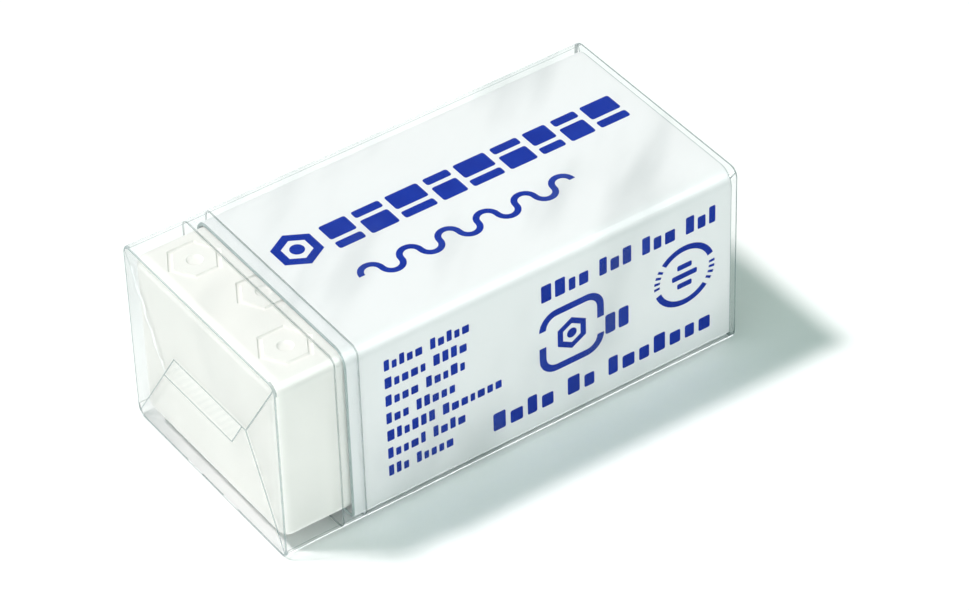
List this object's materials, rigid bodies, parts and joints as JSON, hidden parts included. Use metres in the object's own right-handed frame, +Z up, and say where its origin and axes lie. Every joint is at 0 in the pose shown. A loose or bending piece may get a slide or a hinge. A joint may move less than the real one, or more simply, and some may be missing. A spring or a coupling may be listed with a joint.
{
  "type": "wrapped rubber eraser",
  "caption": "White block eraser in a printed paper sleeve that leaves one end bare, overwrapped in clear folded film with a tear tape round its girth; rubs out pencil marks.",
  "frame": {"origin": "centre of the wrapped pack's underside", "axes": "+X along the block, from its bare end to the end that the sleeve covers; +Z up, out of the sleeve's main printed face"},
  "size_m": [0.0336, 0.0166, 0.0135],
  "materials": {
    "eraser_white": "soft matt white vinyl with a faint bloom",
    "sleeve_paper": "smooth coated white paper",
    "blue_print": "flat blue printing ink on the paper",
    "clear_film": "clear glossy wrapping film",
    "tape_film": "clear tape, a little whiter than the film"
  },
  "bodies": {
    "root": {"eraser_block": "eraser_white", "paper_sleeve": "sleeve_paper", "film_wrap": "clear_film", "tear_tape": "tape_film"}
  },
  "joints": []
}
